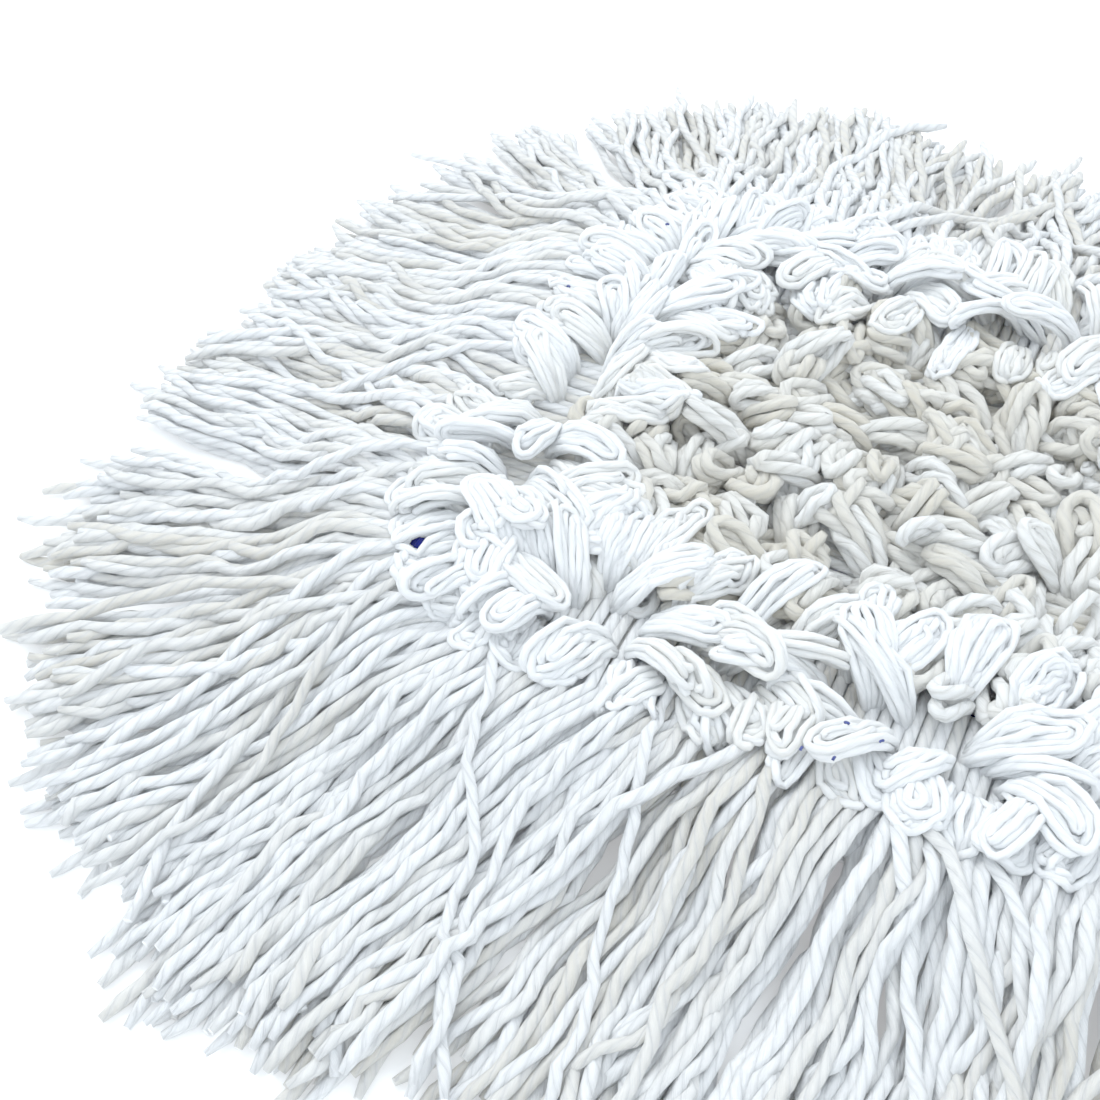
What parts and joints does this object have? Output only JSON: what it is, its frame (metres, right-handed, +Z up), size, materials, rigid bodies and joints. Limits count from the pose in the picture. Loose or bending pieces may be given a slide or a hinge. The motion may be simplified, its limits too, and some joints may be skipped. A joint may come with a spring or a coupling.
{
  "type": "string mop head",
  "caption": "Flat string mop head: looped cotton strings and a cut fringe sewn to a blue canvas backing, with two end pockets that slip over a wire frame.",
  "frame": {"origin": "on the surface that the mop lies on, below the middle of the backing", "axes": "+X along the mop, +Y across it, +Z up from the pockets towards the strings"},
  "size_m": [0.5876, 0.2876, 0.0312],
  "materials": {
    "fringe_yarn": "soft matt twisted cotton, off-white",
    "loop_yarn": "soft matt twisted cotton, off-white",
    "blue_canvas": "plain-woven blue canvas",
    "pocket_canvas": "plain-woven blue canvas",
    "binding_tape": "ribbed blue tape",
    "sewing_thread": "twisted white sewing thread"
  },
  "bodies": {
    "pad": {"backing_cloth": "blue_canvas", "edge_binding": "binding_tape", "fringe_heading": "fringe_yarn", "outer_loop_row": "loop_yarn", "fringe_stitching": "sewing_thread", "binding_stitching": "sewing_thread", "outer_loop_stitching": "sewing_thread", "inner_loop_row_1": "loop_yarn", "inner_row_stitching_1": "sewing_thread", "inner_loop_row_2": "loop_yarn", "inner_row_stitching_2": "sewing_thread", "inner_loop_row_3": "loop_yarn", "inner_row_stitching_3": "sewing_thread", "inner_loop_row_4": "loop_yarn", "inner_row_stitching_4": "sewing_thread", "inner_loop_row_5": "loop_yarn", "inner_row_stitching_5": "sewing_thread", "inner_loop_row_6": "loop_yarn", "inner_row_stitching_6": "sewing_thread", "left_pocket": "pocket_canvas", "left_pocket_hem": "pocket_canvas", "left_pocket_stitching": "sewing_thread", "right_pocket": "pocket_canvas", "right_pocket_hem": "pocket_canvas", "right_pocket_stitching": "sewing_thread"},
    "fringe_right": {"fringe_right": "fringe_yarn"},
    "fringe_back": {"fringe_back": "fringe_yarn"},
    "fringe_left": {"fringe_left": "fringe_yarn"},
    "fringe_front": {"fringe_front": "fringe_yarn"},
    "fringe_back_right_1": {"fringe_back_right_1": "fringe_yarn"},
    "fringe_back_right_2": {"fringe_back_right_2": "fringe_yarn"},
    "fringe_back_right_3": {"fringe_back_right_3": "fringe_yarn"},
    "fringe_back_left_1": {"fringe_back_left_1": "fringe_yarn"},
    "fringe_back_left_2": {"fringe_back_left_2": "fringe_yarn"},
    "fringe_back_left_3": {"fringe_back_left_3": "fringe_yarn"},
    "fringe_front_left_1": {"fringe_front_left_1": "fringe_yarn"},
    "fringe_front_left_2": {"fringe_front_left_2": "fringe_yarn"},
    "fringe_front_left_3": {"fringe_front_left_3": "fringe_yarn"},
    "fringe_front_right_1": {"fringe_front_right_1": "fringe_yarn"},
    "fringe_front_right_2": {"fringe_front_right_2": "fringe_yarn"},
    "fringe_front_right_3": {"fringe_front_right_3": "fringe_yarn"}
  },
  "joints": [
    {"name": "fringe_right_hinge", "type": "hinge", "parent": "pad", "child": "fringe_right", "pos_m": [0.22935, 0, 0.0112], "axis": [0, -1, 0], "range_deg": [-65, 60]},
    {"name": "fringe_back_hinge", "type": "hinge", "parent": "pad", "child": "fringe_back", "pos_m": [0, 0.07935, 0.0112], "axis": [1, 0, 0], "range_deg": [-65, 60]},
    {"name": "fringe_left_hinge", "type": "hinge", "parent": "pad", "child": "fringe_left", "pos_m": [-0.22935, 0, 0.0112], "axis": [0, 1, 0], "range_deg": [-65, 60]},
    {"name": "fringe_front_hinge", "type": "hinge", "parent": "pad", "child": "fringe_front", "pos_m": [0, -0.07935, 0.0112], "axis": [-1, 0, 0], "range_deg": [-65, 60]},
    {"name": "fringe_back_right_1_hinge", "type": "hinge", "parent": "pad", "child": "fringe_back_right_1", "pos_m": [0.22791, 0.04796, 0.0112], "axis": [0.2588, -0.9659, 0], "range_deg": [-65, 60]},
    {"name": "fringe_back_right_2_hinge", "type": "hinge", "parent": "pad", "child": "fringe_back_right_2", "pos_m": [0.21695, 0.06695, 0.0112], "axis": [0.7071, -0.7071, 0], "range_deg": [-65, 60]},
    {"name": "fringe_back_right_3_hinge", "type": "hinge", "parent": "pad", "child": "fringe_back_right_3", "pos_m": [0.19796, 0.07791, 0.0112], "axis": [0.9659, -0.2588, 0], "range_deg": [-65, 60]},
    {"name": "fringe_back_left_1_hinge", "type": "hinge", "parent": "pad", "child": "fringe_back_left_1", "pos_m": [-0.19796, 0.07791, 0.0112], "axis": [0.9659, 0.2588, 0], "range_deg": [-65, 60]},
    {"name": "fringe_back_left_2_hinge", "type": "hinge", "parent": "pad", "child": "fringe_back_left_2", "pos_m": [-0.21695, 0.06695, 0.0112], "axis": [0.7071, 0.7071, 0], "range_deg": [-65, 60]},
    {"name": "fringe_back_left_3_hinge", "type": "hinge", "parent": "pad", "child": "fringe_back_left_3", "pos_m": [-0.22791, 0.04796, 0.0112], "axis": [0.2588, 0.9659, 0], "range_deg": [-65, 60]},
    {"name": "fringe_front_left_1_hinge", "type": "hinge", "parent": "pad", "child": "fringe_front_left_1", "pos_m": [-0.22791, -0.04796, 0.0112], "axis": [-0.2588, 0.9659, 0], "range_deg": [-65, 60]},
    {"name": "fringe_front_left_2_hinge", "type": "hinge", "parent": "pad", "child": "fringe_front_left_2", "pos_m": [-0.21695, -0.06695, 0.0112], "axis": [-0.7071, 0.7071, 0], "range_deg": [-65, 60]},
    {"name": "fringe_front_left_3_hinge", "type": "hinge", "parent": "pad", "child": "fringe_front_left_3", "pos_m": [-0.19796, -0.07791, 0.0112], "axis": [-0.9659, 0.2588, 0], "range_deg": [-65, 60]},
    {"name": "fringe_front_right_1_hinge", "type": "hinge", "parent": "pad", "child": "fringe_front_right_1", "pos_m": [0.19796, -0.07791, 0.0112], "axis": [-0.9659, -0.2588, 0], "range_deg": [-65, 60]},
    {"name": "fringe_front_right_2_hinge", "type": "hinge", "parent": "pad", "child": "fringe_front_right_2", "pos_m": [0.21695, -0.06695, 0.0112], "axis": [-0.7071, -0.7071, 0], "range_deg": [-65, 60]},
    {"name": "fringe_front_right_3_hinge", "type": "hinge", "parent": "pad", "child": "fringe_front_right_3", "pos_m": [0.22791, -0.04796, 0.0112], "axis": [-0.2588, -0.9659, 0], "range_deg": [-65, 60]}
  ]
}
